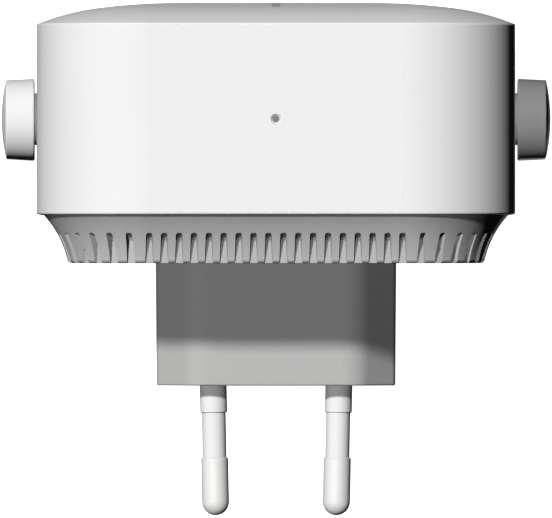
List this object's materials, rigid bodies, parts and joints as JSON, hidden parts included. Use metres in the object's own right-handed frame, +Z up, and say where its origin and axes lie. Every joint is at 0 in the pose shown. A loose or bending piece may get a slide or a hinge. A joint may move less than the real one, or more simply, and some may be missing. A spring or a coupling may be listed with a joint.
{
  "type": "wifi range extender",
  "caption": "Plug-in wireless range extender: rounded white body, light grey vented skirt and round-pin plug, fold-out side antennas, network socket and buttons.",
  "frame": {"origin": "centre of the plug's face, midway between the roots of the two pins", "axes": "+Y along the pins into the wall, +Z up along the body's height as plugged in, +X to the side; the front dome faces -Y"},
  "size_m": [0.0818, 0.0755, 0.0926],
  "materials": {
    "housing_white": "fine satin moulded surface",
    "vent_grey": "satin moulded",
    "plug_grey": "satin moulded",
    "antenna_white": "fine satin moulded surface",
    "sleeve_white": "satin moulded",
    "light_window": "frosted, faintly blue",
    "pin_metal": "bright nickel plating",
    "contact_brass": "rolled strip",
    "contact_gold": "gold-plated wire",
    "ferrite": "dark grey sintered",
    "winding_tape": "yellow tape over copper",
    "bobbin_black": "moulded",
    "capacitor_sleeve": "shrink sleeve",
    "resistor_body": "lacquered",
    "choke_wire": "enamelled copper",
    "chip_black": "moulded epoxy",
    "board_green": "solder mask",
    "cover_black": "formed sheet",
    "can_steel": "tinned sheet",
    "sink_aluminium": "extruded",
    "pad_grey": "soft silicone",
    "jack_black": "moulded",
    "jack_steel": "nickel-plated sheet",
    "switch_grey": "moulded",
    "plunger_white": "moulded",
    "led_white": "cast resin",
    "screw_steel": "zinc-plated",
    "element_copper": "printed copper strip",
    "coax_black": "extruded jacket",
    "connector_gold": "plated",
    "washer_steel": "spring steel"
  },
  "bodies": {
    "body": {"board_coax_left": "coax_black", "board_coax_right": "coax_black", "board_link": "jack_black", "board_screws": "screw_steel", "bridge_rectifier": "chip_black", "bulk_capacitors": "capacitor_sleeve", "coax_connector_left": "connector_gold", "coax_connector_right": "connector_gold", "ethernet_contacts": "contact_gold", "ethernet_jack_body": "jack_black", "ethernet_jack_shield": "jack_steel", "filter_choke": "choke_wire", "front_housing": "housing_white", "fusible_resistor": "resistor_body", "heatsink": "sink_aluminium", "housing_screws": "screw_steel", "insulation_cover": "cover_black", "light_pipe": "light_window", "magnetics": "chip_black", "main_board": "board_green", "mains_contact_left": "contact_brass", "mains_contact_right": "contact_brass", "memory_chip": "chip_black", "optocoupler": "chip_black", "output_capacitor": "capacitor_sleeve", "pin_sleeve_left": "sleeve_white", "pin_sleeve_right": "sleeve_white", "plug_block": "plug_grey", "plug_pin_left": "pin_metal", "plug_pin_right": "pin_metal", "processor_can": "can_steel", "processor_chip": "chip_black", "psu_board": "board_green", "radio_can": "can_steel", "radio_chip": "chip_black", "rear_housing": "vent_grey", "reset_switch": "switch_grey", "status_leds": "led_white", "switching_controller": "chip_black", "thermal_pads": "pad_grey", "transformer_bobbin": "bobbin_black", "transformer_core": "ferrite", "transformer_winding": "winding_tape", "vent_liner": "vent_grey", "wps_switch": "switch_grey"},
    "antenna_left": {"antenna_left_back": "antenna_white", "antenna_left_clip": "washer_steel", "antenna_left_coax": "coax_black", "antenna_left_element": "element_copper", "antenna_left_shell": "antenna_white", "antenna_left_washer": "washer_steel"},
    "antenna_right": {"antenna_right_back": "antenna_white", "antenna_right_clip": "washer_steel", "antenna_right_coax": "coax_black", "antenna_right_element": "element_copper", "antenna_right_shell": "antenna_white", "antenna_right_washer": "washer_steel"},
    "wps": {"wps_button": "housing_white", "wps_plunger": "plunger_white"},
    "reset": {"reset_plunger": "plunger_white"}
  },
  "joints": [
    {"name": "antenna_left_fold", "type": "hinge", "parent": "body", "child": "antenna_left", "pos_m": [-0.03555, -0.03933, 0.012], "axis": [-1, 0, 0], "range_deg": [0, 180]},
    {"name": "antenna_right_fold", "type": "hinge", "parent": "body", "child": "antenna_right", "pos_m": [0.03555, -0.03933, 0.012], "axis": [-1, 0, 0], "range_deg": [0, 180]},
    {"name": "wps_press", "type": "slide", "parent": "body", "child": "wps", "axis": [0, 0, 1], "range_m": [0, 0.0003], "stiffness_N_per_m": 1500},
    {"name": "reset_press", "type": "slide", "parent": "body", "child": "reset", "axis": [0, 0, -1], "range_m": [0, 0.0003], "stiffness_N_per_m": 400}
  ]
}
